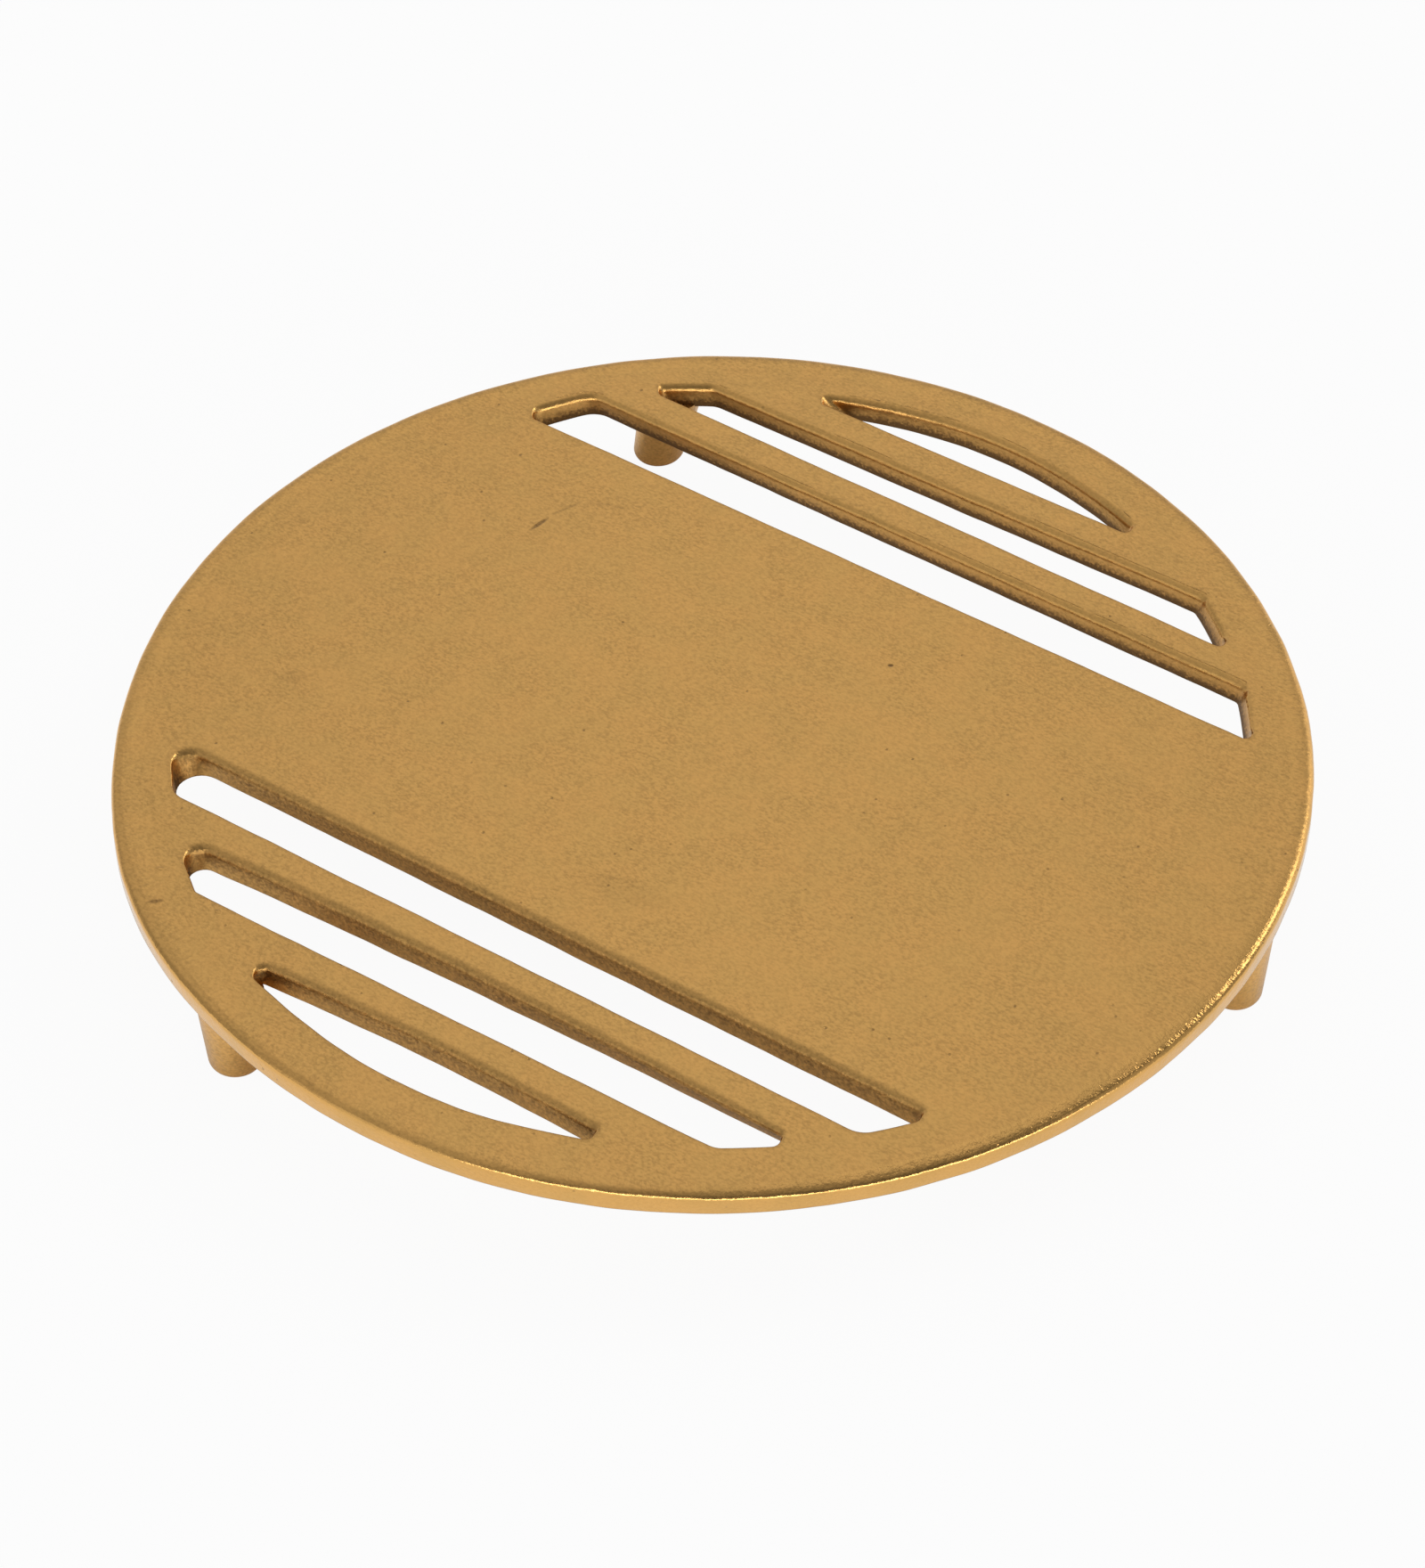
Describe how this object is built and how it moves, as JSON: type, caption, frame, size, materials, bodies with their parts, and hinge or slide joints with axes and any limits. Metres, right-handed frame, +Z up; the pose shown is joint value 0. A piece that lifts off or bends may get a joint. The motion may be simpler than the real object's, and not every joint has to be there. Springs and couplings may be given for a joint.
{
  "type": "trivet",
  "caption": "Round cast-metal trivet: slotted plate with a plain middle panel on short tapered feet, keeps a hot dish off the table.",
  "frame": {"origin": "on the table under the middle of the plate", "axes": "+Z up through the plate, X along the slots, Y across the panel"},
  "size_m": [0.2, 0.2, 0.02],
  "materials": {
    "cast_brass": "satin sand-cast brass with brighter worn edges",
    "foot_brass": "satin sand-cast brass, smoother than the plate"
  },
  "bodies": {
    "root": {"plate": "cast_brass", "foot_1": "foot_brass", "foot_2": "foot_brass", "foot_3": "foot_brass"}
  },
  "joints": []
}
